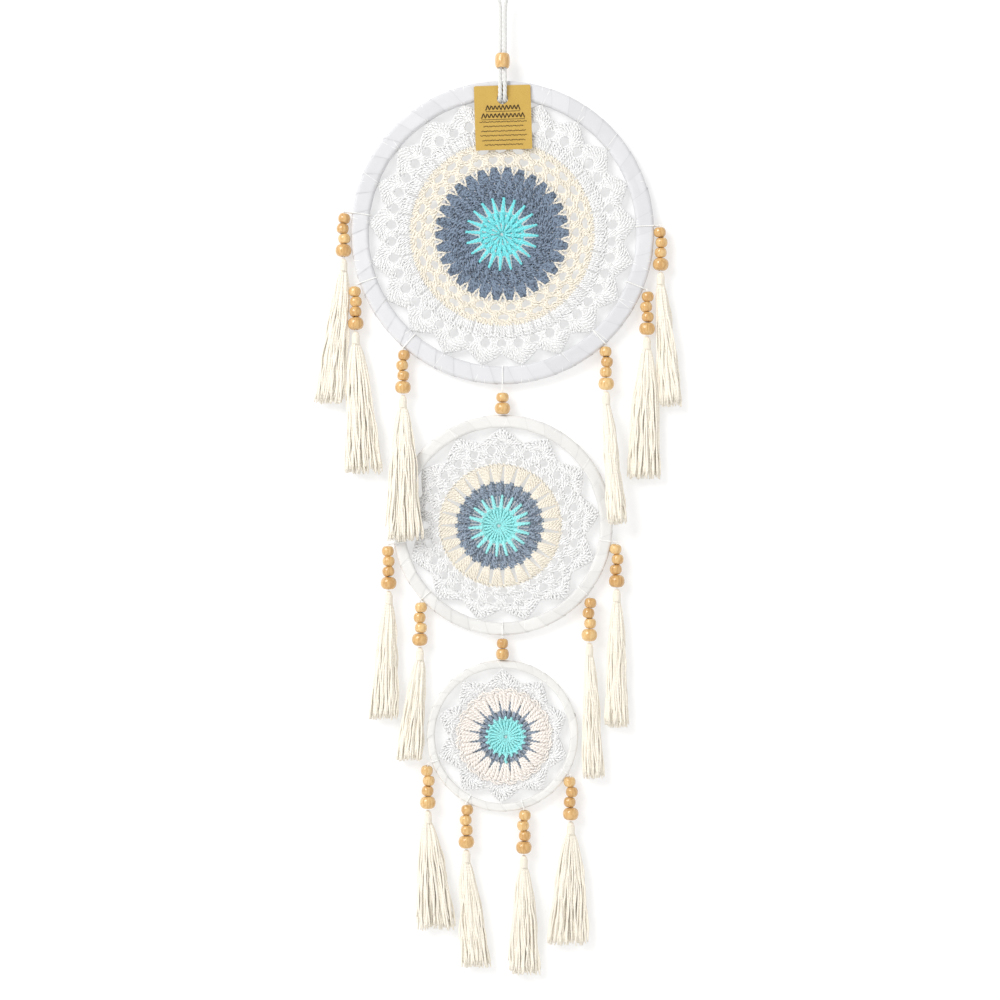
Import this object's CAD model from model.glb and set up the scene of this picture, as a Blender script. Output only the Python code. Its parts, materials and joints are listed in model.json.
"""Dream catcher: three crocheted webs in cloth-bound hoops, hung one below another on a cotton loop,
with a card tag and fourteen strings of wooden beads that end in cotton tassels.

Shapes are worked out in millimetres and scaled to metres where they become meshes."""
import json
import math

import bpy
import numpy as np
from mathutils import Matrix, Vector

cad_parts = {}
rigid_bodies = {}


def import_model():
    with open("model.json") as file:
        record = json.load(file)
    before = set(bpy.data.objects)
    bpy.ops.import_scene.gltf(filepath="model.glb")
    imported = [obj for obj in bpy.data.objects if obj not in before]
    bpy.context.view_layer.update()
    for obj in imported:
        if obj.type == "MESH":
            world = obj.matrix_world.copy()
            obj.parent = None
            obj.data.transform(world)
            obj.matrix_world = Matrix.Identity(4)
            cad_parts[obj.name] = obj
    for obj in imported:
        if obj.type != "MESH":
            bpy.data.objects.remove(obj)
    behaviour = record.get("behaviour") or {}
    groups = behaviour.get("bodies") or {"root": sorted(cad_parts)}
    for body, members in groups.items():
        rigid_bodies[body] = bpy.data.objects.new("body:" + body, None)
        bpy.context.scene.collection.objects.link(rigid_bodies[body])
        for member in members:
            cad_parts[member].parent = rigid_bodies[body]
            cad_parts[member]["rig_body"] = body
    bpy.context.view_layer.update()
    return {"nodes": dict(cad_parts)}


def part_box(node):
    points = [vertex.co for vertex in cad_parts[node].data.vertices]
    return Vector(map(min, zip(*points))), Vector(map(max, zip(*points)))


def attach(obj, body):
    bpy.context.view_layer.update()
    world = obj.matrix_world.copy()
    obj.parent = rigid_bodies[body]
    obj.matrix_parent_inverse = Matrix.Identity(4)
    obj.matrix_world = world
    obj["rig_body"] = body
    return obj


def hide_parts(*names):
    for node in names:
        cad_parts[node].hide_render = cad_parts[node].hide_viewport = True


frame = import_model()

TAU = 2 * math.pi
MM = 0.001
TOWARDS_FRONT = np.array([0.0, -1.0, 0.0])


# ---- what the frame gives ----


def box(node):
    """Lowest and highest corner of a CAD node, in millimetres."""
    low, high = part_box(node)
    return np.array(low) / MM, np.array(high) / MM


def body(node):
    """The body that a CAD node rides on."""
    return frame["nodes"][node]["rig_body"]


def corners_of(node):
    """Every corner of a CAD node, in millimetres."""
    return np.array([v.co for v in frame["nodes"][node].data.vertices]) / MM


# What the hoops' boxes don't show: the width of the wound band, how far the ribbon stands proud of
# the cane inside it, the ribbon's own width and how many turns it makes.
BANDS = {
    "large": {"width": 13.0, "cover": 1.5, "ribbon": 16.5, "turns": 46},
    "middle": {"width": 9.3, "cover": 1.3, "ribbon": 15.5, "turns": 35},
    "small": {"width": 6.0, "cover": 1.1, "ribbon": 13.5, "turns": 28},
}


def hoop_of(name):
    """Centre, outer and inner radius and front and back of one wound hoop."""
    low, high = box(f"{name}_hoop")
    band = BANDS[name]
    outer = (high[2] - low[2]) / 2 + band["cover"]
    return {
        "centre": np.array([0.0, (low[1] + high[1]) / 2, (low[2] + high[2]) / 2]),
        "outer": outer,
        "inner": outer - band["width"],
        "depth": high[1] - low[1] + 2 * band["cover"],
        **band,
    }


HOOPS = {name: hoop_of(name) for name in BANDS}


# ---- camera ----


LENS_MM = 85
SENSOR_MM = 36
CAMERA_AT = (-0.0018, -1.707, -0.3806)


def add_camera():
    """A long lens, level with the middle of the piece."""
    lens = bpy.data.cameras.new("camera")
    lens.lens = LENS_MM
    lens.sensor_width = SENSOR_MM
    camera = bpy.data.objects.new("camera", lens)
    camera.location = CAMERA_AT
    camera.rotation_euler = (math.pi / 2, 0, 0)
    bpy.context.scene.collection.objects.link(camera)
    bpy.context.scene.camera = camera


add_camera()


# ---- paths ----


def unit(vectors):
    """The same directions with a length of one."""
    return vectors / np.maximum(np.linalg.norm(vectors, axis=-1, keepdims=True), 1e-9)


def dotted(a, b):
    """The dot product of each pair, kept as a column."""
    return np.sum(a * b, axis=-1, keepdims=True)


def curve(knots, steps):
    """Smooth paths through rows of knots, (paths, knots, 3), with so many steps between two knots."""
    knots = np.asarray(knots, float)
    first = 2 * knots[:, :1] - knots[:, 1:2]
    last = 2 * knots[:, -1:] - knots[:, -2:-1]
    padded = np.concatenate([first, knots, last], axis=1)
    t = (np.arange(steps) / steps)[None, None, :, None]
    a, b, c, d = (padded[:, i : padded.shape[1] - 3 + i, None, :] for i in range(4))
    between = b + 0.5 * t * (c - a + t * (2 * a - 5 * b + 4 * c - d + t * (3 * b - 3 * c + d - a)))
    rows = between.reshape(len(knots), -1, 3)
    return np.concatenate([rows, knots[:, -1:]], axis=1)


def lengths_along(paths):
    """How far each point lies along its path."""
    steps = np.linalg.norm(np.diff(paths, axis=1), axis=-1)
    return np.concatenate([np.zeros((len(paths), 1)), np.cumsum(steps, axis=1)], axis=1)


def respaced(path, count):
    """One path again, with so many points evenly along it."""
    along = lengths_along(path[None])[0]
    wanted = np.linspace(0, along[-1], count)
    return np.stack([np.interp(wanted, along, path[:, i]) for i in range(3)], axis=-1)


def carried_frames(paths):
    """Directions along, beside and above every path, carried along it without a twist."""
    ahead = unit(np.gradient(paths, axis=1))
    level = np.abs(ahead[:, 0] @ TOWARDS_FRONT) < 0.9
    start = np.where(level[:, None], TOWARDS_FRONT, np.array([1.0, 0.0, 0.0]))
    beside = np.empty_like(ahead)
    beside[:, 0] = unit(np.cross(ahead[:, 0], start))
    for i in range(1, paths.shape[1]):
        before = beside[:, i - 1]
        beside[:, i] = unit(before - ahead[:, i] * dotted(before, ahead[:, i]))
    return ahead, beside, np.cross(beside, ahead)


# ---- meshes ----


def mesh_object(name, points, faces, marks=None):
    """A mesh from points in millimetres and arrays of faces, each array with its own corner count.
    marks are three numbers for each point, which the materials read."""
    mesh = bpy.data.meshes.new(name)
    mesh.vertices.add(len(points))
    mesh.vertices.foreach_set("co", (np.asarray(points, float) * MM).astype(np.float32).ravel())
    corners = np.concatenate([f.ravel() for f in faces]).astype(np.int32)
    totals = np.concatenate([np.full(len(f), f.shape[1]) for f in faces]).astype(np.int32)
    mesh.loops.add(len(corners))
    mesh.loops.foreach_set("vertex_index", corners)
    mesh.polygons.add(len(totals))
    mesh.polygons.foreach_set("loop_start", np.concatenate([[0], np.cumsum(totals)[:-1]]).astype(np.int32))
    mesh.polygons.foreach_set("loop_total", totals)
    mesh.polygons.foreach_set("use_smooth", np.ones(len(totals), bool))
    if marks is not None:
        kept = mesh.attributes.new("marks", "FLOAT_VECTOR", "POINT")
        kept.data.foreach_set("vector", np.asarray(marks, np.float32).ravel())
    mesh.update(calc_edges=True)
    mesh.validate()
    made = bpy.data.objects.new(name, mesh)
    bpy.context.scene.collection.objects.link(made)
    return made


def piece(made, on, finish, stands_for=()):
    """Gives an object its finish, its body and the CAD nodes it stands for."""
    made.data.materials.append(finish)
    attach(made, on)
    if stands_for:
        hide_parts(*stands_for)
    return made


class Strands:
    """Round strands gathered into one mesh. Each corner's marks are its place along its strand in
    millimetres, its place round it from 0 to 1, and a number from 0 to 1 that the strand has."""

    def __init__(self, seed, sides):
        self.sides = sides
        self.chance = np.random.default_rng(seed)
        self.points = []
        self.marks = []
        self.sheaths = []
        self.caps = []
        self.count = 0

    def lay(self, paths, radius):
        """Adds strands. The radius is one number, or one for each point of the paths."""
        paths = np.asarray(paths, float)
        paths = paths[None] if paths.ndim == 2 else paths
        strands, steps, _ = paths.shape
        _, beside, above = carried_frames(paths)
        turn = (np.arange(self.sides) * TAU / self.sides)[None, None, :, None]
        ring = np.cos(turn) * beside[:, :, None] + np.sin(turn) * above[:, :, None]
        thick = np.broadcast_to(radius, (strands, steps))[:, :, None, None]
        self.points.append((paths[:, :, None] + thick * ring).reshape(-1, 3))
        along = np.broadcast_to(lengths_along(paths)[:, :, None], ring.shape[:3])
        around = np.broadcast_to(np.arange(self.sides) / self.sides, ring.shape[:3])
        own = np.broadcast_to(self.chance.random(strands)[:, None, None], ring.shape[:3])
        self.marks.append(np.stack([along, around, own], axis=-1).reshape(-1, 3))
        corner = np.arange(strands * steps * self.sides).reshape(strands, steps, self.sides) + self.count
        a, b = corner[:, :-1], corner[:, 1:]
        beyond = [np.roll(x, -1, axis=2) for x in (a, b)]
        self.sheaths.append(np.stack([a, beyond[0], beyond[1], b], axis=-1).reshape(-1, 4))
        self.caps += [corner[:, 0, ::-1], corner[:, -1]]
        self.count += corner.size

    def twist(self, paths, ply, lay=2.4, plies=2):
        """Adds strands that are each twisted from plies, ply being the radius of one."""
        paths = np.asarray(paths, float)
        paths = paths[None] if paths.ndim == 2 else paths
        _, beside, above = carried_frames(paths)
        start = self.chance.random((len(paths), 1)) * TAU
        phase = start + lengths_along(paths) * TAU / (lay * plies)
        offset = np.broadcast_to(ply, phase.shape)[:, :, None] * 0.92
        for k in range(plies):
            turn = (phase + k * TAU / plies)[:, :, None]
            self.lay(paths + offset * (np.cos(turn) * beside + np.sin(turn) * above), ply)

    def made(self, name):
        """The mesh object of all strands."""
        faces = [np.concatenate(self.sheaths), np.concatenate(self.caps)]
        return mesh_object(name, np.concatenate(self.points), faces, np.concatenate(self.marks))


def lathed(profile, segments):
    """Points and faces of a closed outline, pairs of radius and height, turned about the upright."""
    profile = np.asarray(profile, float)
    turn = np.arange(segments) * TAU / segments
    radius, height = profile[:, 0][:, None], profile[:, 1][:, None]
    points = np.stack([radius * np.cos(turn), radius * np.sin(turn), height + 0 * turn], axis=-1)
    corner = np.arange(points.shape[0] * segments).reshape(-1, segments)
    below = np.roll(corner, -1, axis=0)
    faces = np.stack([corner, below, np.roll(below, -1, axis=1), np.roll(corner, -1, axis=1)], axis=-1)
    return points.reshape(-1, 3), faces.reshape(-1, 4)


# ---- finishes ----


def srgb(red, green, blue):
    """A colour as a screen shows it, as the light it stands for."""
    def light(value):
        share = value / 255
        return share / 12.92 if share <= 0.04045 else ((share + 0.055) / 1.055) ** 2.4
    return (light(red), light(green), light(blue), 1.0)


class Value:
    """An output of a material's nodes, so that shading is written as sums."""

    def __init__(self, finish, socket):
        self.finish = finish
        self.socket = socket

    def math(self, operation, *others, **settings):
        """This value and others through one Math node."""
        settings["operation"] = operation
        return self.finish.node("ShaderNodeMath", settings, dict(enumerate((self, *others))))

    def __add__(self, other):
        return self.math("ADD", other)

    def __sub__(self, other):
        return self.math("SUBTRACT", other)

    def __rsub__(self, other):
        return self.finish.node("ShaderNodeMath", {"operation": "SUBTRACT"}, {0: other, 1: self})

    def __mul__(self, other):
        return self.math("MULTIPLY", other)

    def __pow__(self, other):
        return self.math("POWER", other)

    __radd__ = __add__
    __rmul__ = __mul__

    def sine(self):
        """A wave from 0 to 1 that repeats when this value has grown by 1."""
        return self.math("MULTIPLY", TAU).math("SINE") * 0.5 + 0.5


class Finish:
    """A material: the constants of its shader, and the nodes that vary it."""

    def __init__(self, name, constants):
        self.material = bpy.data.materials.new(name)
        self.material.use_nodes = True
        self.tree = self.material.node_tree
        self.shader = self.tree.nodes["Principled BSDF"]
        for socket, value in constants.items():
            self.shader.inputs[socket].default_value = value

    def node(self, kind, settings, inputs, output=0):
        """One node: its settings first, then the values or links of its sockets."""
        made = self.tree.nodes.new(kind)
        for setting, value in settings.items():
            if setting == "stops":
                ramp = made.color_ramp.elements
                while len(ramp) < len(value):
                    ramp.new(1.0)
                for stop, (place, colour) in zip(ramp, value):
                    stop.position = place
                    stop.color = colour
            else:
                setattr(made, setting, value)
        for socket, value in inputs.items():
            if isinstance(value, Value):
                self.tree.links.new(value.socket, made.inputs[socket])
            else:
                made.inputs[socket].default_value = value
        return Value(self, made.outputs[output])

    def marks(self):
        """The three marks of a mesh's corners."""
        marks = self.node("ShaderNodeAttribute", {"attribute_name": "marks"}, {}, "Vector")
        return [self.node("ShaderNodeSeparateXYZ", {}, {0: marks}, i) for i in range(3)]

    def place(self):
        """Where a point of the piece lay at rest, in metres."""
        return self.node("ShaderNodeTexCoord", {}, {}, "Object")

    def noise(self, scale, detail=2.0, vector=None):
        """Cloudy noise of so many spots to the metre."""
        inputs = {"Vector": vector or self.place(), "Scale": scale, "Detail": detail}
        return self.node("ShaderNodeTexNoise", {}, inputs)

    def stretched(self, by):
        """The place scaled by a different number along each axis."""
        return self.node("ShaderNodeVectorMath", {"operation": "MULTIPLY"}, {0: self.place(), 1: by})

    def mix(self, factor, first, second):
        """One colour turning into another as the factor goes from 0 to 1."""
        return self.node("ShaderNodeMix", {"data_type": "RGBA"}, {0: factor, 6: first, 7: second}, 2)

    def give(self, socket, value):
        """Links a value to a socket of the shader."""
        self.tree.links.new(value.socket, self.shader.inputs[socket])

    def bump(self, height, distance):
        """Raises the surface by height, whose full step is distance in metres."""
        inputs = {"Height": height, "Distance": distance, "Strength": 1.0}
        self.give("Normal", self.node("ShaderNodeBump", {}, inputs))


def darker(colour, share):
    """A colour with less light."""
    return tuple(c * share for c in colour[:3]) + (1.0,)


def yarn_finish(name, colour, contrast, twist=1.6, speckle=0.0, sheen=0.3, raised=0.00016):
    """Matt cotton: slanting plies, fine fibres, and each strand a little lighter or darker."""
    finish = Finish(name, {"Roughness": 0.92, "Sheen Weight": sheen, "Sheen Roughness": 0.5})
    along, around, own = finish.marks()
    plies = (along * (1 / twist) + around * 2).sine()
    fibres = finish.noise(5200, 3.0)
    patches = finish.noise(160, 2.0)
    light = plies * 0.34 + fibres * 0.3 + patches * 0.16 + own * 0.2
    tone = finish.mix(light, darker(colour, 1 - contrast), colour)
    if speckle:
        spots = (finish.noise(640, 2.0) - 0.5).math("MULTIPLY", 8.0, use_clamp=True)
        tone = finish.mix(spots * speckle, tone, darker(colour, 0.34))
    finish.give("Base Color", tone)
    if raised:
        finish.bump(plies * 0.7 + fibres * 0.3, raised)
    return finish.material


def ribbon_finish(name, colour):
    """Plain woven cotton ribbon: fine crossing threads and a slightly denser edge."""
    finish = Finish(name, {"Roughness": 0.82, "Sheen Weight": 0.12, "Sheen Roughness": 0.4})
    along, across, own = finish.marks()
    weave = (along * 2.6).sine() * (across * 42.0).sine()
    selvedge = (across * across * 4.0) ** 14.0
    cloth = finish.noise(240, 3.0)
    slub = finish.noise(900, 2.0)
    light = weave * 0.14 + cloth * 0.2 + slub * 0.16 + own * 0.5
    cloth_tone = finish.mix(light, darker(colour, 0.83), colour)
    finish.give("Base Color", finish.mix(selvedge * 0.3, cloth_tone, darker(colour, 0.5)))
    finish.give("Roughness", 0.76 + cloth * 0.14)
    finish.bump(weave * 0.5 + slub * 0.5, 0.00012)
    return finish.material


def bead_finish():
    """Varnished pale wood: fine grain along the bore, darker pores, each bead with its own tone."""
    finish = Finish("varnished_wood", {"Coat Weight": 1.0, "Coat Roughness": 0.1, "Specular IOR Level": 0.4})
    _, _, own = finish.marks()
    grain = finish.noise(240, 4.0, finish.stretched((1.0, 1.0, 0.22)))
    pores = finish.noise(2600, 2.0, finish.stretched((1.0, 1.0, 0.1)))
    rings = (grain * 5.0).sine()
    tone = rings * 0.32 + pores * 0.26 + own * 0.42
    stops = [
        (0.1, srgb(190, 141, 79)),
        (0.45, srgb(214, 169, 104)),
        (0.85, srgb(235, 200, 139)),
    ]
    finish.give("Base Color", finish.node("ShaderNodeValToRGB", {"stops": stops}, {0: tone}))
    finish.give("Roughness", 0.34 + pores * 0.16)
    finish.bump(pores * 0.6 + rings * 0.4, 0.00005)
    return finish.material


def card_finish():
    """Unbleached card with pressed fibres and a few darker flecks."""
    finish = Finish("kraft_card", {"Specular IOR Level": 0.35})
    fibres = finish.noise(1500, 4.0, finish.stretched((1.0, 1.0, 3.5)))
    patches = finish.noise(90, 3.0)
    flecks = finish.noise(3200, 1.0) ** 6
    tone = finish.mix(fibres * 0.6 + patches * 0.4, srgb(192, 157, 74), srgb(216, 181, 94))
    finish.give("Base Color", finish.mix(flecks * 5.0, tone, srgb(140, 104, 52)))
    finish.give("Roughness", 0.58 + fibres * 0.2)
    finish.bump(fibres, 0.00006)
    return finish.material


def print_finish():
    """Dark brown printing that lets a little of the card through."""
    finish = Finish("brown_print", {"Roughness": 0.7})
    wear = finish.noise(2600, 3.0)
    finish.give("Base Color", finish.mix(wear ** 3, srgb(58, 42, 22), srgb(124, 94, 48)))
    return finish.material


def cane_finish():
    """Peeled cane, seen only inside the winding."""
    finish = Finish("cane", {})
    grain = finish.noise(400, 3.0)
    finish.give("Base Color", finish.mix(grain, srgb(176, 128, 74), srgb(212, 168, 112)))
    finish.give("Roughness", 0.5 + grain * 0.2)
    finish.bump(grain, 0.0001)
    return finish.material


TURQUOISE = srgb(136, 247, 252)
PALE_TURQUOISE = srgb(172, 255, 255)
SLATE = srgb(143, 160, 182)
PALE_SLATE = srgb(166, 181, 199)
CREAM = srgb(249, 242, 228)
SOFT_CREAM = srgb(255, 249, 243)
WHITE = srgb(244, 244, 244)
YARNS = {
    "turquoise": yarn_finish("turquoise_yarn", TURQUOISE, contrast=0.24, speckle=0.12),
    "pale": yarn_finish("pale_turquoise_yarn", PALE_TURQUOISE, contrast=0.2, speckle=0.1),
    "slate": yarn_finish("slate_yarn", SLATE, contrast=0.3, speckle=1.0, sheen=0.12),
    "grey": yarn_finish("pale_slate_yarn", PALE_SLATE, contrast=0.3, speckle=0.9, sheen=0.12),
    "cream": yarn_finish("cream_yarn", CREAM, contrast=0.06, speckle=0.1, sheen=0.2),
    "soft": yarn_finish("soft_cream_yarn", SOFT_CREAM, contrast=0.05, speckle=0.12, sheen=0.2),
    "white": yarn_finish("white_yarn", WHITE, contrast=0.05, speckle=0.1, sheen=0.2),
}
TASSEL_COTTON = yarn_finish("tassel_cotton", srgb(253, 246, 232), twist=2.2, contrast=0.08)
CORD_COTTON = yarn_finish("cord_cotton", srgb(228, 228, 226), twist=3.0, contrast=0.06, sheen=0.1,
                          raised=0.00008)
THREAD_COTTON = yarn_finish("thread_cotton", srgb(250, 250, 248), contrast=0.02, sheen=0.2, raised=0.0)
RIBBONS = {
    "large": ribbon_finish("large_ribbon_cloth", srgb(229, 229, 232)),
    "middle": ribbon_finish("middle_ribbon_cloth", srgb(240, 239, 237)),
    "small": ribbon_finish("small_ribbon_cloth", srgb(243, 242, 239)),
}
BEAD_WOOD = bead_finish()
CARD = card_finish()
PRINT = print_finish()
CANE = cane_finish()


# ---- hanging loop ----

# One leg from its knot behind the hoop, up through the tag and the bead to the bend over the nail.
LOOP_LEG = [
    (1.7, 8.8, -91.6),
    (1.7, 6.2, -91.6),
    (1.7, 4.4, -91.55),
    (1.7, 2.4, -90.6),
    (1.7, 0.9, -88.9),
    (1.7, 0.1, -86.7),
    (1.7, 0.0, -82.5),
    (1.7, 0.0, -73.1),
    (1.7, 0.0, -61.1),
    (1.7, 0.0, -44.0),
    (1.7, 0.0, -30.0),
    (2.1, 0.0, -22.0),
    (4.2, 0.0, -14.5),
    (6.5, 0.0, -6.5),
    (4.68, 0.0, -0.4),
]
LOOP_TOP = (0.0, 0.0, 1.5)


def hanging_loop():
    """Two legs of one soft cord, twisted from three plies, with the ends going back into the piece."""
    route = LOOP_LEG + [LOOP_TOP] + [(-x, y, z) for x, y, z in reversed(LOOP_LEG)]
    path = respaced(curve([route], 8)[0], 420)
    strands = Strands(12, sides=8)
    strands.twist(path, 0.82, lay=3.4, plies=3)
    loop = piece(strands.made("hanging_loop_cord"), body("hanging_loop"), CORD_COTTON,
                 ["hanging_loop"])


hanging_loop()


# ---- wound hoops ----


def section_point(hoop, share, rise):
    """A point on the wound band's rounded section: radius and depth, for a share of the way round it."""
    width = hoop["width"] - 0.7
    deep = hoop["depth"] - 0.9
    round_ = min(width, deep) * 0.3
    straight = [width - 2 * round_, deep - 2 * round_] * 2
    arc = round_ * TAU / 4
    whole = sum(straight) + 4 * arc
    way = (share % 1.0) * whole
    radius, depth = np.zeros_like(way), np.zeros_like(way)
    start = 0.0
    middles = [(0.5, 0.5), (0.5, -0.5), (-0.5, -0.5), (-0.5, 0.5)]
    for side, length in enumerate(straight):
        turn = TAU / 4 * side
        out = np.array([math.sin(turn), math.cos(turn)])
        forth = np.array([math.cos(turn), -math.sin(turn)])
        here = (way >= start) & (way < start + length)
        step = way - start - length / 2
        far = (deep if side % 2 == 0 else width) / 2 + rise
        radius = np.where(here, out[0] * far + forth[0] * step, radius)
        depth = np.where(here, out[1] * far + forth[1] * step, depth)
        start += length
        corner = (way >= start) & (way < start + arc)
        bend = (way - start) / round_
        centre = (middles[side][0] * (width - 2 * round_), middles[side][1] * (deep - 2 * round_))
        reach = round_ + rise
        radius = np.where(corner, centre[0] + reach * np.sin(bend + turn), radius)
        depth = np.where(corner, centre[1] + reach * np.cos(bend + turn), depth)
        start += arc
    return radius, depth, whole


def ribbon(name):
    """One long strip of cloth, wound round a hoop so that each turn laps a little over the next."""
    hoop = HOOPS[name]
    chance = np.random.default_rng(len(name))
    middle = (hoop["outer"] + hoop["inner"]) / 2
    turns, steps, across_steps = hoop["turns"], 36, 7
    pitch = TAU * middle / turns
    way = np.linspace(-0.4, turns + 0.12, turns * steps)
    across = np.linspace(-0.5, 0.5, across_steps)
    thick, lap = 0.24, 0.42
    wander = np.interp(way, np.arange(turns + 1), chance.normal(0, 0.05, turns + 1))
    puff = np.interp(way, np.arange(turns + 1), chance.uniform(0.5, 1.5, turns + 1))
    layers = []
    for height in (0.0, thick):
        lay = (across[None] + 0.5) * lap + puff[:, None] * 0.1 * np.cos(math.pi * across[None]) - 0.26
        lay += 0.24 * np.clip((way[:, None] - turns + 1.1) * 3, 0, 1)
        rise = lay + height
        radius, depth, whole = section_point(hoop, np.broadcast_to(way[:, None], rise.shape), rise)
        turn = ((way + wander)[:, None] * pitch + across[None] * hoop["ribbon"]) / middle + 0.31
        reach = middle + radius
        y = hoop["centre"][1] - depth
        layers.append(np.stack([reach * np.cos(turn), y, hoop["centre"][2] + reach * np.sin(turn)], axis=-1))
    points = np.concatenate(layers).reshape(-1, 3)
    corner = np.arange(len(points)).reshape(2, len(way), across_steps)
    under, over = corner

    def quads(a, b):
        return np.stack([a[:-1], a[1:], b[1:], b[:-1]], axis=-1).reshape(-1, 4)

    faces = []
    for sheet, flip in ((over, False), (under, True)):
        a, b, c, d = sheet[:-1, :-1], sheet[:-1, 1:], sheet[1:, 1:], sheet[1:, :-1]
        order = (a, d, c, b) if flip else (a, b, c, d)
        faces.append(np.stack(order, axis=-1).reshape(-1, 4))
    for column, flip in ((0, False), (-1, True)):
        a, b = under[:, column], over[:, column]
        faces.append(quads(a, b) if flip else quads(b, a))
    for row, flip in ((0, True), (-1, False)):
        a, b = under[row], over[row]
        faces.append(quads(a, b) if flip else quads(b, a))
    marks = np.empty((2, len(way), across_steps, 3))
    marks[..., 0] = way[None, :, None] * whole
    marks[..., 1] = across[None, None]
    marks[..., 2] = np.interp(way, np.arange(turns + 1), chance.random(turns + 1))[None, :, None]
    made = mesh_object(f"{name}_ribbon", points, faces, marks.reshape(-1, 3))
    made.data.set_sharp_from_angle(angle=math.radians(50))
    piece(made, body(f"{name}_wrap"), RIBBONS[name], [f"{name}_wrap"])
    hoop["ribbon"] * MM


for ring_name in BANDS:
    ribbon(ring_name)
    frame["nodes"][f"{ring_name}_hoop"].data.materials.clear()
    frame["nodes"][f"{ring_name}_hoop"].data.materials.append(CANE)


# ---- crochet ----


class Web:
    """A web worked in rounds about its hoop's centre, one set of strands for each colour."""

    def __init__(self, name, seed, reach, slip):
        self.name = name
        self.hoop = HOOPS[name]
        self.reach = reach
        self.slip = np.array([slip[0], 0.0, slip[1]])
        self.chance = np.random.default_rng(seed)
        self.colours = {}

    def strands(self, colour):
        """The strands of one colour."""
        if colour not in self.colours:
            self.colours[colour] = Strands(len(self.colours) + 11, sides=5)
        return self.colours[colour]

    def at(self, radius, turn, lift=0.0):
        """A point so far from the centre, in a direction in radians, lifted towards the front."""
        radius, turn, lift = np.broadcast_arrays(radius, turn, lift)
        flat = np.stack([radius * np.cos(turn), -lift, radius * np.sin(turn)], axis=-1)
        slack = 1 - np.clip(radius / self.reach, 0, 1) ** 2
        return self.hoop["centre"] + flat + slack[..., None] * self.slip

    def posts(self, colour, inner, outer, start, end=None, *, ply, lift, bow=0.45):
        """Stitches that stand from one radius to another, each of two twisted plies."""
        start = np.atleast_1d(np.asarray(start, float))
        end = start if end is None else np.atleast_1d(np.asarray(end, float))
        slip = self.chance.normal(0, 0.14, (5, len(start)))
        low = self.at(inner + slip[0], start + slip[1] / inner, lift)
        high = self.at(outer + slip[2], end + slip[3] / outer, lift)
        middle = (low + high) / 2 + TOWARDS_FRONT * (bow + slip[4][:, None] * 0.5)
        steps = max(3, round(float(np.max(np.abs(np.asarray(outer) - inner))) * 0.55))
        paths = curve(np.stack([low, middle, high], axis=1), steps)
        thick = np.linspace(ply[0], ply[1], paths.shape[1])[None]
        self.strands(colour).twist(paths, np.repeat(thick, len(paths), axis=0))

    def chain(self, colour, path, stitches, *, ply, width=0.75, lift=0.5):
        """The chain that tops a round: two strands that cross once in each stitch."""
        steps = stitches * 4 + 1
        line = respaced(path, steps)[None]
        ahead = unit(np.gradient(line, axis=1))
        beside = np.cross(ahead, TOWARDS_FRONT)
        stitch = (np.linspace(0, stitches, steps) * math.pi)[None, :, None]
        for side in (1, -1):
            swing = side * width * np.sin(stitch)
            rise = lift + side * ply * 1.15 * np.cos(stitch)
            self.strands(colour).lay(line + swing * beside + rise * TOWARDS_FRONT, ply)

    def ring_chain(self, colour, radius, stitches, scallops=0, dip=0.0, phase=0.0, **look):
        """A closed round of chain, which may dip towards the centre between scallops."""
        turn = np.linspace(0, TAU, 721)
        wave = np.abs(np.sin((turn - phase) * scallops / 2)) if scallops else 1.0
        self.chain(colour, self.at(radius - dip * (1 - wave), turn), stitches, **look)

    def arc_chain(self, colour, knots, stitches, **look):
        """A short chain through a few points, each a radius and a direction."""
        points = np.array([self.at(radius, turn) for radius, turn in knots])
        self.chain(colour, curve([points], 8)[0], stitches, **look)

    def dense(self, colour, inner, outer, count, lean, **look):
        """A solid round: upright stitches in front, and the same half a stitch along behind."""
        turns = np.arange(count) * TAU / count
        sway = lean * np.where(np.arange(count) % 2, 1, -1) / outer
        self.posts(colour, inner, outer, turns, turns + sway, lift=0.45, **look)
        half = turns + TAU / count / 2
        self.posts(colour, inner, outer, half, half - sway, lift=-0.55, bow=-0.3, **look)

    def fans(self, colour, inner, outer, count, posts, base, top, phase, **look):
        """Groups of stitches that open outwards. Base and top are shares of the room of one group."""
        room = TAU / count
        spread = np.linspace(-0.5, 0.5, posts)
        centre = (np.arange(count) * room + phase)[:, None]
        low = (centre + spread * room * base).ravel()
        high = (centre + spread * room * top).ravel()
        self.posts(colour, inner, outer, low, high, **look)

    def ribs(self, colour, inner, outer, count, phase, *, waist, flare, ply, strands=4):
        """Groups of stitches that draw together in their middle and leave round openings between."""
        room = TAU / count
        centre = (np.arange(count) * room + phase)[:, None]
        spread = np.linspace(-1, 1, strands)[None]
        knots = []
        for share in (0.0, 0.25, 0.5, 0.75, 1.0):
            away = (2 * share - 1) ** 2
            turn = (centre + spread * room * (waist + (flare - waist) * away)).ravel()
            slip = self.chance.normal(0, 0.1, (2, len(turn)))
            radius = inner + (outer - inner) * share + slip[0]
            knots.append(self.at(radius, turn + slip[1] / outer, 0.3 + 0.6 * (1 - away)))
        self.strands(colour).twist(curve(np.stack(knots, axis=1), 2), ply)

    def shell(self, colour, tip, hub, valley, reach, half, posts, *, ply, rim):
        """A pointed shell: stitches that fan from a small opening to an edge that comes to a point."""
        def edge(sweep):
            out = valley + (reach - valley) * (1 - np.abs(sweep) ** 1.1)
            return hub + out, tip + half * sweep / (hub + out)

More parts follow.
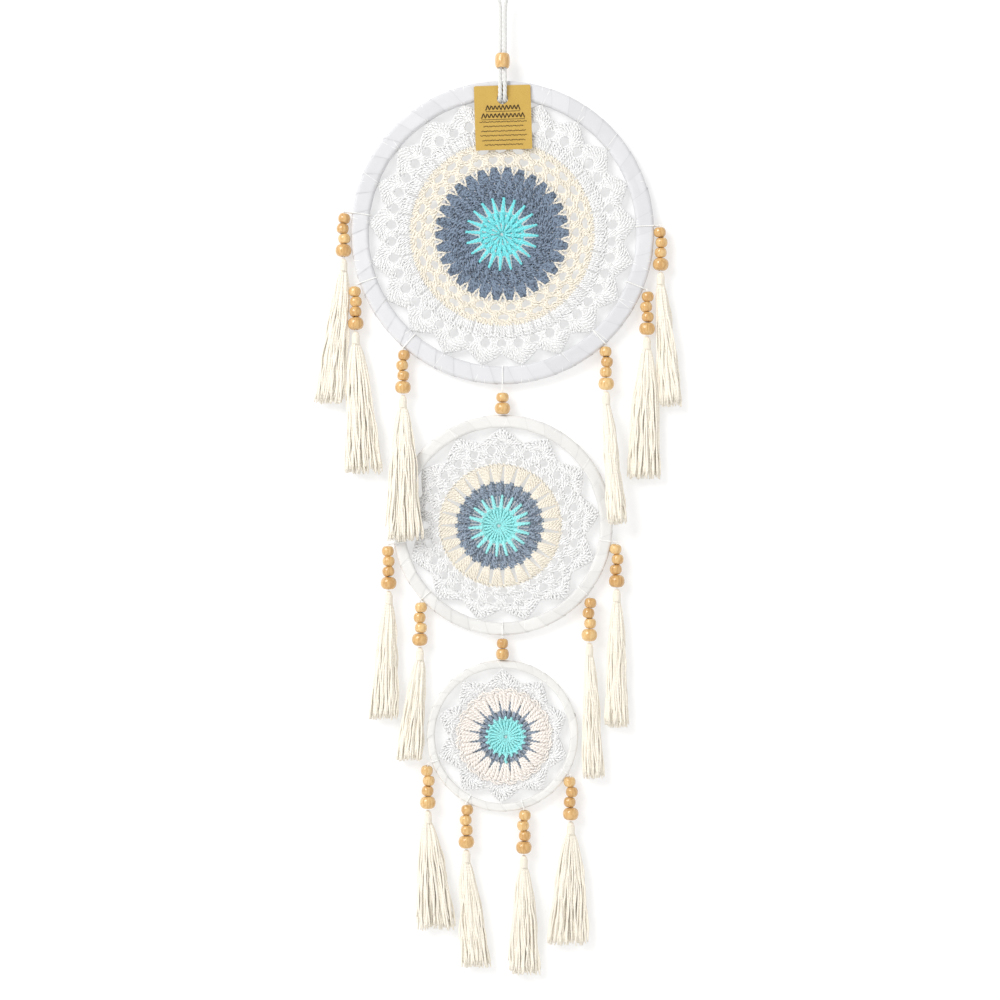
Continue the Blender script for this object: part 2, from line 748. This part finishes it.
        sweep = np.linspace(-1, 1, posts)
        low_r = hub + rim * 0.8 * np.cos(sweep * 1.35)
        low_t = tip + rim * np.sin(sweep * 1.35) / hub
        high_r, high_t = edge(sweep)
        high_r = np.maximum(high_r, low_r + 1.5)
        self.posts(colour, low_r, high_r, low_t, high_t, ply=(ply * 0.8, ply * 1.05), lift=0.35)
        middles = (sweep[1:] + sweep[:-1]) / 2
        self.posts(colour, (low_r[1:] + low_r[:-1]) / 2, edge(middles)[0] - 0.4, (low_t[1:] + low_t[:-1]) / 2,
                   edge(middles)[1], ply=(ply * 0.8, ply), lift=-0.6, bow=-0.2)
        path = self.at(*edge(np.linspace(-1, 1, 2 * posts - 1)))
        self.chain(colour, curve([path], 3)[0], posts + 5, width=0.6, ply=ply * 0.7)
        opening = np.linspace(-TAU / 4, TAU / 4, 13)
        arch = self.at(hub + rim * 0.8 * np.cos(opening), tip + rim * np.sin(opening) / hub)
        self.chain(colour, arch, 6, width=0.45, ply=ply * 0.85, lift=0.1)

    def made(self):
        """One piece for each colour. The white one stands for the CAD web."""
        for use, strands in self.colours.items():
            made = strands.made(f"{self.name}_web_{use.replace(' ', '_')}")
            stands_for = [f"{self.name}_web"] if use == "white" else []
            piece(made, body(f"{self.name}_web"), YARNS[use.split()[0]], stands_for)


def sun(web, colour, rounds, spread):
    """Solid rounds of stitches about a small hole, with short ones behind the first round."""
    web.posts(colour, 1.3, 3.6, np.arange(9) * TAU / 9, ply=(0.5, 0.6), lift=-1.1)
    for inner, outer, count in rounds:
        web.dense(colour, inner, outer, count, lean=spread, ply=(0.5 if inner > 5 else 0.24, 0.66))
        web.ring_chain(colour, outer, round(count * 1.1), ply=0.52)


def spikes(web, colour, count, base, tip, half, phase):
    """Narrow points that reach over the next round."""
    centre = np.arange(count) * TAU / count + phase
    for side in (-1, 1):
        web.posts(colour, base, tip, centre + side * half / base, centre + side * 0.1 / tip,
                  ply=(0.7, 0.5), lift=1.3, bow=0.5)
    web.posts(colour, base - 1, base + (tip - base) * 0.3, centre, ply=(0.6, 0.5), lift=1.0)


def large_web():
    """Sun, slate blocks, cream net and white shells."""
    web = Web("large", 5, 96.0, (-0.4, -1.0))
    top = TAU / 4
    sun(web, "turquoise", [(1.9, 8.7, 24), (8.9, 15.2, 38)], 1.0)
    spikes(web, "turquoise", 20, 15.0, 26.4, 0.42, top - TAU / 20 * 0.17)
    gaps = (np.arange(20) * TAU / 20 + top + TAU / 20 * 0.33)[:, None]
    for inner, reach in ((17.2, 0.9), (18.5, 2.6)):
        fan = (gaps + np.array([-1, 1]) * reach / 26).ravel()
        web.posts("slate", inner, 27.0, np.repeat(gaps.ravel(), 2), fan, ply=(0.42, 0.62), lift=-0.2)
    for inner, outer in ((26.0, 32.0), (32.0, 37.9)):
        web.dense("slate", inner, outer, 60, lean=1.6, ply=(0.66, 0.78))
        web.posts("slate", inner - 0.3, outer + 0.3, np.arange(60) * TAU / 60, ply=(0.8, 0.9),
                  lift=-1.0, bow=0.0)
        web.ring_chain("slate", (inner + outer) / 2, 60, width=0.9, ply=0.6)
        web.ring_chain("slate", outer + 0.2, 62, width=0.9, ply=0.6)
    blocks = 30
    room = TAU / blocks
    slit = top + room * 0.08
    block = slit + room / 2
    web.fans("slate", 37.9, 47.0, blocks, 5, 0.72, 0.75, block, ply=(0.58, 0.66), lift=0.3)
    web.fans("slate", 37.9, 47.0, blocks, 4, 0.64, 0.68, block, ply=(0.62, 0.66), lift=-0.6)
    for k in range(blocks):
        turn = k * room + block
        for radius, width in ((40.8, 0.34), (44.0, 0.36), (47.4, 0.38)):
            knots = [(radius - 0.3, turn - width * room), (radius, turn), (radius - 0.3, turn + width * room)]
            web.arc_chain("slate", knots, 6, width=0.8, ply=0.58)
    gaps = np.arange(blocks) * room + slit
    for side in (-1, 1):
        web.posts("cream", 43.0, 49.6, gaps + side * 0.25 / 43, gaps + side * 2.4 / 49,
                  ply=(0.34, 0.62), lift=1.0)
    web.ring_chain("cream", 50.6, 92, blocks, 1.2, block, width=0.95, ply=0.66)
    for inner, outer, at in ((50.6, 57.4, slit), (57.8, 64.0, block)):
        web.ribs("cream", inner, outer, blocks, at, waist=0.1, flare=0.36, ply=0.68)
        web.ring_chain("cream", outer + 0.2, 90, blocks, 0.9, at + room / 2, width=0.8, ply=0.7)
    web.fans("cream", 64.0, 67.2, blocks, 6, 0.66, 0.8, slit, ply=(0.6, 0.62), lift=0.3)
    for lift in (0.45, -0.6):
        web.fans("white", 66.8, 75.6, 30, 7, 0.78, 0.8, slit, ply=(0.66, 0.72), lift=lift)
    for k in range(30):
        turn = slit + k * room
        for radius in (69.4, 72.2):
            knots = [(radius - 0.3, turn - 0.38 * room), (radius, turn), (radius - 0.3, turn + 0.38 * room)]
            web.arc_chain("white", knots, 7, width=1.0, ply=0.6, lift=0.9)
    web.ring_chain("white", 75.8, 110, 30, 1.4, slit + room / 2, width=0.9, ply=0.64, lift=0.7)
    first = top + TAU / 21 * 0.5
    web.ribs("white", 75.8, 85.0, 42, first + TAU / 84, waist=0.14, flare=0.42, strands=5, ply=0.66)
    web.ring_chain("white", 85.2, 150, 21, 1.8, first, width=1.0, ply=0.6)
    for k in range(21):
        short = 3.9 if k == 0 else 0.0
        web.shell("white shells", top + k * TAU / 21, 82.0, 4.6, 14.2 - short, 13.6, 14, ply=0.84, rim=3.6)
    web.made()


def middle_web():
    """Sun on a slate ring, cream petals, and an open white net with thirteen shells."""
    web = Web("middle", 6, 69.6, (-2.5, -0.5))
    top = TAU / 4
    sun(web, "pale", [(1.8, 12.2, 26)], 0.0)
    spikes(web, "pale", 18, 12.2, 22.4, 0.45, top - TAU / 18 * 0.28)
    web.posts("grey", 14.5, 31.0, np.arange(54) * TAU / 54, ply=(0.42, 0.7), lift=-0.5)
    web.dense("grey", 21.5, 31.2, 54, lean=1.3, ply=(0.64, 0.8))
    web.ring_chain("grey", 26.4, 54, width=0.9, ply=0.5)
    web.ring_chain("grey", 31.4, 54, 27, 0.8, top + TAU / 27 * 0.25, width=0.9, ply=0.6)
    petals = 27
    slit = top + TAU / petals * 0.25
    web.fans("cream", 30.4, 43.6, petals, 5, 0.34, 0.68, slit, ply=(0.56, 0.72), lift=0.7)
    web.fans("cream", 31.2, 43.6, petals, 4, 0.24, 0.58, slit, ply=(0.56, 0.7), lift=-0.4)
    web.ring_chain("cream", 44.0, 84, width=0.9, ply=0.6)
    web.ribs("white", 44.4, 50.6, petals, slit, waist=0.19, flare=0.42, strands=5, ply=0.66)
    web.ring_chain("white", 50.8, 96, petals, 1.2, slit + TAU / 54, width=0.9, ply=0.6)
    web.ribs("white", 51.0, 58.6, 26, top, waist=0.19, flare=0.43, strands=5, ply=0.7)
    web.ring_chain("white", 58.8, 104, 26, 1.4, top + TAU / 52, width=0.9, ply=0.6)
    for k in range(13):
        web.shell("white shells", top + k * TAU / 13, 58.6, 1.6, 11.2, 14.4, 12, ply=0.84, rim=3.4)
    web.made()


def small_web():
    """Sun, slate star, cream groups and ten white shells."""
    web = Web("small", 7, 47.2, (2.5, -0.8))
    top = TAU / 4
    sun(web, "pale", [(1.6, 12.2, 26)], 0.0)
    web.posts("pale", 12.0, 15.0, np.arange(20) * TAU / 20 + top, ply=(0.7, 0.5), lift=1.0)
    tail = web.at(np.array([11.6, 14.0, 16.6, 18.9]), -TAU / 4 + np.array([0.0, 0.05, -0.02, 0.06]), 2.0)
    web.strands("pale").twist(curve([tail], 8), 0.55)
    web.dense("grey", 13.4, 20.4, 60, lean=1.0, ply=(0.5, 0.6))
    stars = np.arange(20) * TAU / 20 + top + TAU / 40
    for side in (-1, 1):
        web.posts("grey", 18.6, 25.6, stars + side * 0.9 / 20, stars, ply=(0.56, 0.3), lift=0.3)
    web.fans("soft", 19.0, 31.4, 20, 3, 0.44, 0.66, top, ply=(0.6, 0.95), lift=0.8)
    web.fans("soft", 20.0, 31.4, 20, 4, 0.4, 0.8, top, ply=(0.6, 0.9), lift=-0.2)
    web.ring_chain("soft", 31.4, 62, width=0.9, ply=0.6)
    web.ring_chain("soft", 34.4, 64, 20, 2.4, top, width=0.8, ply=0.6, lift=1.3)
    web.fans("white", 33.6, 38.4, 10, 9, 0.8, 0.84, top, ply=(0.66, 0.7), lift=-0.2)
    for k in range(10):
        web.shell("white shells", top + k * TAU / 10, 36.4, 2.0, 11.2, 12.6, 11, ply=0.84, rim=2.8)
    web.made()


large_web()
middle_web()
small_web()


# ---- threads that hold a web in its hoop, and those that hold a string ----

WEB_TIES = {
    "large": {"points": 21, "tip": 96.2, "skip": (0,)},
    "middle": {"points": 13, "tip": 69.8, "skip": ()},
    "small": {"points": 10, "tip": 47.4, "skip": ()},
}


def round_band(hoop, radius, bearing, lift):
    """A path by its distance and direction from a hoop's centre and its lift towards the front."""
    centre = hoop["centre"]
    x, z = radius * np.cos(bearing), centre[2] + radius * np.sin(bearing)
    return np.stack([x, centre[1] - lift, z], axis=-1)


def web_ties(name):
    """From each point of a web, two threads that part over the front of the band to its outer edge."""
    hoop = HOOPS[name]
    tie = WEB_TIES[name]
    front = hoop["depth"] / 2
    strands = Strands(31, sides=5)
    route = [
        (tie["tip"] - 0.8, 0.6, 0.0),
        (hoop["inner"] + 0.1, front * 0.4, 0.2),
        (hoop["inner"] + 1.0, front - 0.45, 0.3),
        ((hoop["inner"] + hoop["outer"]) / 2, front - 0.4, 0.66),
        (hoop["outer"] - 1.0, front - 0.45, 1.0),
        (hoop["outer"] - 0.2, front * 0.3, 1.1),
        (hoop["outer"] - 0.3, -front * 0.5, 1.12),
        (hoop["outer"] - 1.8, 0.5 - front, 1.0),
    ]
    for k in range(tie["points"]):
        if k in tie["skip"]:
            continue
        turn = TAU / 4 + k * TAU / tie["points"]
        for side in (-1, 1):
            spread = side * strands.chance.uniform(2.0, 4.2)
            radius, lift, part = np.array(route).T
            bearing = turn + part * spread / hoop["outer"]
            path = round_band(hoop, radius, bearing, lift)
            strands.lay(curve([path], 6), 0.18)
    piece(strands.made(f"{name}_web_ties"), body(f"{name}_web"), THREAD_COTTON)


for ring_name in WEB_TIES:
    web_ties(ring_name)


def band_tie(strands, hoop, knot):
    """A thread that goes once round the band and out to the knot that a string hangs on."""
    offset = knot - hoop["centre"]
    turn = math.atan2(offset[2], offset[0])
    front, inner, outer = hoop["depth"] / 2, hoop["inner"], hoop["outer"]
    route = [
        (math.hypot(offset[0], offset[2]), -offset[1]),
        (outer + 0.3, front * 0.45),
        (outer - 0.8, front + 0.05),
        ((inner + outer) / 2, front + 0.1),
        (inner + 0.8, front + 0.05),
        (inner - 0.1, 0.0),
        (inner + 0.8, 0.3 - front),
        (outer - 0.8, 0.3 - front),
        (outer + 0.25, -front * 0.45),
        (math.hypot(offset[0], offset[2]), -offset[1]),
    ]
    radius, lift = np.array(route).T
    strands.twist(curve([round_band(hoop, radius, turn, lift)], 7), 0.3, lay=1.4)


def overhand_knot(strands, at, size):
    """A small round knot."""
    way = np.linspace(0, TAU, 61)
    x = np.sin(way) + 2 * np.sin(2 * way)
    y = np.cos(way) - 2 * np.cos(2 * way)
    z = -np.sin(3 * way) * 1.4
    strands.lay(np.stack([x, z, y], axis=-1) * size / 3 + at, 0.3)


# ---- beads ----


def bead_outline(diameter, height, bore):
    """A barrel with softly rounded ends and a countersunk bore, as pairs of radius and height."""
    mouth = bore / 2 + 0.3
    swing = np.linspace(-TAU / 4, TAU / 4, 25)
    side = [(mouth + (diameter / 2 - mouth) * math.cos(s) ** 0.8, height / 2 * math.sin(s)) for s in swing]
    down = [(mouth, height / 2 - 0.15), (bore / 2, height / 2 - 0.7)]
    up = [(bore / 2, 0.7 - height / 2), (mouth, 0.15 - height / 2)]
    return side + down + up


def turn_about(axis, angle):
    """The matrix of a turn about one of the three axes."""
    a, b = (axis + 1) % 3, (axis + 2) % 3
    turn = np.eye(3)
    turn[a, a] = turn[b, b] = math.cos(angle)
    turn[b, a] = math.sin(angle)
    turn[a, b] = -turn[b, a]
    return turn


def bead(name, middle, diameter, height, bore, on, seed, stands_for, tilt=6.0):
    """One turned wooden bead, a little out of true on its thread."""
    chance = np.random.default_rng(seed)
    points, faces = lathed(bead_outline(diameter, height, bore), 40)
    lean_x, lean_y = np.radians(chance.normal(0, tilt, 2).clip(-1.8 * tilt, 1.8 * tilt))
    spin = chance.uniform(0, TAU)
    turned = points @ turn_about(2, spin).T @ turn_about(0, lean_x).T @ turn_about(1, lean_y).T
    placed = turned + np.asarray(middle)
    marks = np.tile([0.0, 0.0, chance.uniform(0.05, 0.95)], (len(points), 1))
    piece(mesh_object(name, placed, [faces], marks), on, BEAD_WOOD, stands_for)


SMALL_BEAD_WIDTH = 8.8
LARGE_BEAD_WIDTH = 11.5
TOP_BEAD_WIDTH = 10.9
SMALL_BEAD_BORE = 2.2
LARGE_BEAD_BORE = 2.6
TOP_BEAD_BORE = 6.9
SMALL_BEADS = 3
KNOT_SIZE = 0.62


def middle_of(node):
    """The middle of a CAD node's box."""
    low, high = box(node)
    return (low + high) / 2


def size_of(node):
    """The size of a CAD node's box."""
    low, high = box(node)
    return high - low


# ---- tassels ----


def tassel_profile(node):
    """Centre, half width and half depth of a tassel's CAD solid at each of its levels, top first."""
    corners = corners_of(node)
    levels = np.unique(np.round(corners[:, 2], 1))[::-1]
    rows = []
    for level in levels:
        ring = corners[np.abs(corners[:, 2] - level) < 0.1]
        middle = (ring.max(0) + ring.min(0)) / 2
        half = (ring.max(0) - ring.min(0)) / 2
        rows.append((level, middle[0], middle[1], half[0], half[1]))
    return np.array(rows)


def tassel(name, seed):
    """A skirt of wavy cotton threads below a bound neck."""
    node = f"{name}_tassel"
    rows = tassel_profile(node)
    top, hem = rows[0, 0], rows[-1, 0]
    neck_end = rows[2, 0]
    chance = np.random.default_rng(seed)
    threads, steps = 98, 22
    share = np.sqrt((np.arange(threads) + 0.5) / threads)
    bearing = np.arange(threads) * TAU * 0.381966 + chance.normal(0, 0.25, threads)
    way = np.linspace(0, 1, steps)[None] ** 1.15
    end = chance.uniform(0.0, 0.06, threads) + 0.10 * (chance.random(threads) > 0.88)
    depth = np.clip(way * (1 - end[:, None]), 0, 1)
    start = neck_end + 3.6
    level = start + (hem - start) * depth
    below = np.linspace(0, 1, 16)
    fuller = below ** 1.45

    def at(column, share=below):
        """A column of the solid's profile. The skirt fills out sooner than straight sides would."""
        heights = neck_end + (hem - neck_end) * share
        values = np.interp(-(neck_end + (hem - neck_end) * below), -rows[:, 0], rows[:, column])
        return np.interp(-level, -heights, values)

    loose = np.clip((neck_end - level) / 26, 0, 1)
    wave = np.zeros_like(level)
    sway = np.zeros_like(level)
    for octave in range(3):
        pitch = chance.uniform(34, 80, (threads, 1)) / (1 + octave)
        phase = chance.uniform(0, TAU, (2, threads, 1))
        size = chance.uniform(0.2, 0.95, (2, threads, 1)) / (1 + octave) ** 1.4
        wave += size[0] * np.sin(level * TAU / pitch + phase[0])
        sway += size[1] * np.sin(level * TAU / pitch + phase[1])
    room_x = np.maximum(1.06 * at(3, fuller) - 0.6, 1.0)
    room_y = np.maximum(at(4, fuller) - 0.6, 1.0)
    x = at(1) + room_x * share[:, None] * np.cos(bearing)[:, None] * 0.96 + wave * loose
    y = at(2) + room_y * share[:, None] * np.sin(bearing)[:, None] * 0.86 + sway * loose * 0.5
    paths = np.stack([x, y, level], axis=-1)
    thick = 0.42 + 0.32 * np.clip((neck_end - level) / 9, 0, 1)
    thick = thick * chance.uniform(0.88, 1.1, (threads, 1))
    thick[:, -1] *= 0.72
    strands = Strands(seed, sides=5)
    strands.lay(paths, thick)
    piece(strands.made(f"{name}_tassel_skirt"), body(node), TASSEL_COTTON, [node])
    binding = Strands(seed + 1, sides=6)
    neck = rows[2, 3]
    middle = np.array([rows[2, 1], rows[2, 2], 0.0])
    ribs = 12
    for k in range(ribs):
        turn = k * TAU / ribs
        out = np.array([0.22, 0.55, 0.85, 0.9, 0.86]) * (neck - 0.35)
        height = top - np.array([0.7, 1.7, 2.9, 4.6, 6.4])
        rib = np.stack([middle[0] + out * math.cos(turn), middle[1] + out * math.sin(turn), height], axis=-1)
        binding.lay(curve([rib], 4), 0.62)
    coils = 8
    way = np.linspace(0, 1, coils * 14 + 1)
    turn = way * coils * TAU
    reach = neck - 0.1
    coil = np.stack([middle[0] + reach * np.cos(turn), middle[1] + reach * np.sin(turn),
                     top - 4.0 - way * (top - 4.0 - neck_end)], axis=-1)
    binding.lay(coil, 0.42)
    piece(binding.made(f"{name}_tassel_neck"), body(node), TASSEL_COTTON)


# ---- strings, links and the bead on the loop ----


def bead_string(name, seed):
    """Knot, thread, three small beads, a large bead and a tassel."""
    low, high = box(f"{name}_bead_string")
    ring = name.split("_")[0]
    on = body(f"{name}_bead_string")
    middle = (low + high) / 2
    large = box(f"{name}_large_bead")
    height = (high[2] - large[1][2] - 0.3) / SMALL_BEADS
    chance = np.random.default_rng(seed)
    for k in range(SMALL_BEADS):
        aside = (1, -1, 1)[k] * (1 if seed % 40 else -1) * chance.uniform(0.0, 0.9)
        at = (middle[0] + aside, middle[1], high[2] - height * (k + 0.5))
        stands_for = [f"{name}_bead_string"] if k == 0 else []
        bead(f"{name}_small_bead_{k + 1}", at, SMALL_BEAD_WIDTH, height - 0.12, SMALL_BEAD_BORE, on,
             seed + k, stands_for)
    bead(f"{name}_large_bead_turned", middle_of(f"{name}_large_bead"), LARGE_BEAD_WIDTH,
         large[1][2] - large[0][2], LARGE_BEAD_BORE, on, seed + 5, [f"{name}_large_bead"], tilt=2.5)
    strands = Strands(seed, sides=5)
    knot = np.array([middle[0], middle[1], high[2] + 1.3])
    overhand_knot(strands, knot, KNOT_SIZE)
    ends = [knot, knot - (0, 0, 12), knot - (0, 0, 24), np.array([middle[0], middle[1], low[2] - 0.2])]
    strands.twist(curve([ends], 16), 0.33, lay=1.4)
    piece(strands.made(f"{name}_thread"), on, THREAD_COTTON)
    tassel(name, seed + 9)
    return ring, knot


knots = {ring_name: [] for ring_name in BANDS}
string_nodes = sorted(node for node in frame["nodes"] if node.endswith("_bead_string"))
for order, node in enumerate(string_nodes):
    ring_name, knot = bead_string(node[: -len("_bead_string")], 100 + 20 * order)
    knots[ring_name].append(knot)


def link(name, above, seed):
    """The short thread with two beads from which the next hoop hangs."""
    on = body(f"{name}_thread")
    for k, size in enumerate(("small", "large")):
        node = f"{name}_{size}_bead"
        wide, _, tall = size_of(node)
        bead(f"{node}_turned", middle_of(node), wide, tall, LARGE_BEAD_BORE, on, seed + k, [node], tilt=1.5)
    low, high = box(f"{name}_thread")
    middle = (low + high) / 2
    knot = np.array([middle[0], middle[1], high[2] + 1.1])
    strands = Strands(seed, sides=5)
    overhand_knot(strands, knot, KNOT_SIZE)
    halfway, foot = ((middle[0], middle[1], level) for level in ((knot[2] + low[2]) / 2, low[2]))
    strands.twist(curve([[knot, halfway, foot]], 14), 0.33, lay=1.4)
    piece(strands.made(f"{name}_cotton"), on, THREAD_COTTON, [f"{name}_thread"])
    knots[above].append(knot)


link("upper_link", "large", 501)
link("lower_link", "middle", 521)
bead("top_bead_turned", middle_of("top_bead"), TOP_BEAD_WIDTH, size_of("top_bead")[2], TOP_BEAD_BORE,
     body("top_bead"), 541, ["top_bead"], tilt=0.6)

for ring_name, found in knots.items():
    ties = Strands(71, sides=5)
    for knot in found:
        band_tie(ties, HOOPS[ring_name], knot)
    piece(ties.made(f"{ring_name}_string_ties"), body(f"{ring_name}_wrap"), THREAD_COTTON)


# ---- tag ----

TAG = {"width": 41.0, "height": 46.5, "thickness": 0.6, "hole": 3.95, "hole_drop": 9.6}
TAG_TILT = math.radians(1.8)


def on_tag(points):
    """Points on the upright tag, from its centre, put where the tag hangs."""
    low, high = box("tag")
    points = np.asarray(points, float)
    cos, sin = math.cos(TAG_TILT), math.sin(TAG_TILT)
    x = points[:, 0] * cos - points[:, 2] * sin
    z = points[:, 0] * sin + points[:, 2] * cos
    return np.stack([x, points[:, 1], z], axis=-1) + (low + high) / 2


def tag_card():
    """A card with softened edges and a round hole for the cord."""
    around, rings_in = 144, 10
    turn = np.arange(around) * TAU / around + TAU / around / 2
    half_w, half_h = TAG["width"] / 2, TAG["height"] / 2
    hole_z = half_h - TAG["hole_drop"]
    direction = np.stack([np.cos(turn), np.sin(turn)], axis=-1)
    room_x = half_w / np.maximum(np.abs(direction[:, 0]), 1e-6)
    up = np.where(direction[:, 1] > 0, half_h - hole_z, half_h + hole_z)
    room_z = up / np.maximum(np.abs(direction[:, 1]), 1e-6)
    reach = np.minimum(room_x, room_z)
    shares = np.linspace(0, 1, rings_in) ** 1.3
    away = (TAG["hole"] + (reach[None].T - TAG["hole"]) * shares).T
    x = direction[:, 0] * away
    z = direction[:, 1] * away + hole_z
    layers = []
    for side in (-1, 1):
        y = np.full_like(x, side * TAG["thickness"] / 2)
        layers.append(np.stack([x, y, z], axis=-1))
    points = np.stack(layers)
    corner = np.arange(points[..., 0].size).reshape(2, rings_in, around)
    nxt = np.roll(corner, -1, axis=2)
    front = np.stack([corner[0, :-1], nxt[0, :-1], nxt[0, 1:], corner[0, 1:]], axis=-1).reshape(-1, 4)
    back = np.stack([corner[1, :-1], corner[1, 1:], nxt[1, 1:], nxt[1, :-1]], axis=-1).reshape(-1, 4)
    edge = np.stack([corner[0, -1], nxt[0, -1], nxt[1, -1], corner[1, -1]], axis=-1)
    bore = np.stack([corner[0, 0], corner[1, 0], nxt[1, 0], nxt[0, 0]], axis=-1)
    made = mesh_object("tag_card", on_tag(points.reshape(-1, 3)), [front, back, edge, bore])
    made.data.polygons.foreach_set("use_smooth", np.zeros(len(made.data.polygons), bool))
    soft = made.modifiers.new("soft_edges", "BEVEL")
    soft.width = 0.12 * MM
    soft.segments = 2
    soft.limit_method = "ANGLE"
    piece(made, body("tag"), CARD, ["tag"])


def tag_ornament():
    """A printed ornament: zigzag bands above rows of small waves."""
    marks = Strands(3, sides=4)
    face = -TAG["thickness"] / 2 - 0.02
    half = TAG["width"] / 2

    def stroke(xs, zs, radius):
        path = on_tag(np.stack([xs, np.full_like(xs, face), zs], axis=-1))
        marks.lay(respaced(path, max(24, 3 * len(xs))), radius)

    for level, reach, tall, peaks in ((7.3, 12.4, 1.9, 9), (1.5, 15.6, 1.9, 11)):
        xs = np.linspace(-reach, reach, 2 * peaks + 1)
        zs = level + tall * np.where(np.arange(len(xs)) % 2, 1.0, -1.0)
        stroke(xs, zs, 0.42)
        stroke(xs, zs * 0 + level - tall - 0.9, 0.2)
    for row in range(6):
        reach = (half - 3.4, half - 6.0, half - 4.4, half - 3.6, half - 4.8, half - 6.6)[row]
        xs = np.linspace(-reach, reach, 120)
        zs = -2.9 - row * 3.35 + 0.42 * np.sin(xs * TAU / 1.7) * np.sign(np.sin(xs * TAU / 5.1 + row) + 0.75)
        stroke(xs, zs, 0.2)
    piece(marks.made("tag_ornament"), body("tag"), PRINT)


tag_card()
tag_ornament()


# ---- wall, floor and light ----


def plane(name, corners, finish):
    """A flat backdrop that isn't part of the object."""
    mesh = bpy.data.meshes.new(name)
    mesh.from_pydata(corners, [], [(0, 1, 2, 3)])
    made = bpy.data.objects.new(name, mesh)
    made.data.materials.append(finish)
    bpy.context.scene.collection.objects.link(made)


WALL_GREY = 0.56
WALL_GLOW = 0.46
ROOM_LIGHT = 0.54


def wall_finish():
    """White wall paint towards the room. Seen from behind, and for shadows, the wall isn't there."""
    finish = Finish("wall_paint", {"Base Color": (WALL_GREY, WALL_GREY, WALL_GREY, 1.0), "Roughness": 0.9})
    nodes, links = finish.tree.nodes, finish.tree.links
    behind = finish.node("ShaderNodeNewGeometry", {}, {}, "Backfacing")
    shadow = finish.node("ShaderNodeLightPath", {}, {}, "Is Shadow Ray")
    clear = nodes.new("ShaderNodeBsdfTransparent")
    choose = nodes.new("ShaderNodeMixShader")
    finish.shader.inputs["Emission Color"].default_value = (1.0, 1.0, 1.0, 1.0)
    finish.shader.inputs["Emission Strength"].default_value = WALL_GLOW
    links.new(behind.math("MAXIMUM", shadow).socket, choose.inputs[0])
    links.new(finish.shader.outputs[0], choose.inputs[1])
    links.new(clear.outputs[0], choose.inputs[2])
    links.new(choose.outputs[0], nodes["Material Output"].inputs[0])
    return finish.material


def floor_finish():
    """Pale plain floor."""
    finish = Finish("pale_floor", {"Roughness": 0.9})
    finish.give("Base Color", finish.mix(finish.noise(3), srgb(240, 239, 237), srgb(244, 243, 241)))
    return finish.material


WALL_Y = 0.0118
WALL_TOP = 1.6
FLOOR_Z = -1.05
plane("wall", [(-3, WALL_Y, FLOOR_Z), (3, WALL_Y, FLOOR_Z), (3, WALL_Y, WALL_TOP), (-3, WALL_Y, WALL_TOP)],
      wall_finish())
plane("floor", [(-3, -3, FLOOR_Z), (3, -3, FLOOR_Z), (3, 3, FLOOR_Z), (-3, 3, FLOOR_Z)], floor_finish())


def soft_light(name, at, towards, size, power):
    """A large soft lamp."""
    lamp = bpy.data.lights.new(name, "AREA")
    lamp.shape = "SQUARE"
    lamp.size = size
    lamp.energy = power
    made = bpy.data.objects.new(name, lamp)
    made.location = at
    aim = np.array(towards) - np.array(at)
    made.rotation_mode = "QUATERNION"
    made.rotation_quaternion = Vector(aim).to_track_quat("-Z", "Y")
    bpy.context.scene.collection.objects.link(made)


soft_light("window", (-1.6, -1.9, 1.1), (0, 0, -0.35), size=1.5, power=56)
soft_light("fill", (1.9, -2.2, 0.1), (0, 0, -0.35), size=2.2, power=10)

world = bpy.data.worlds.new("room")
world.use_nodes = True
world.node_tree.nodes["Background"].inputs[0].default_value = (1.0, 1.0, 1.0, 1.0)
world.node_tree.nodes["Background"].inputs[1].default_value = ROOM_LIGHT
bpy.context.scene.world = world
bpy.context.scene.view_settings.view_transform = "Standard"
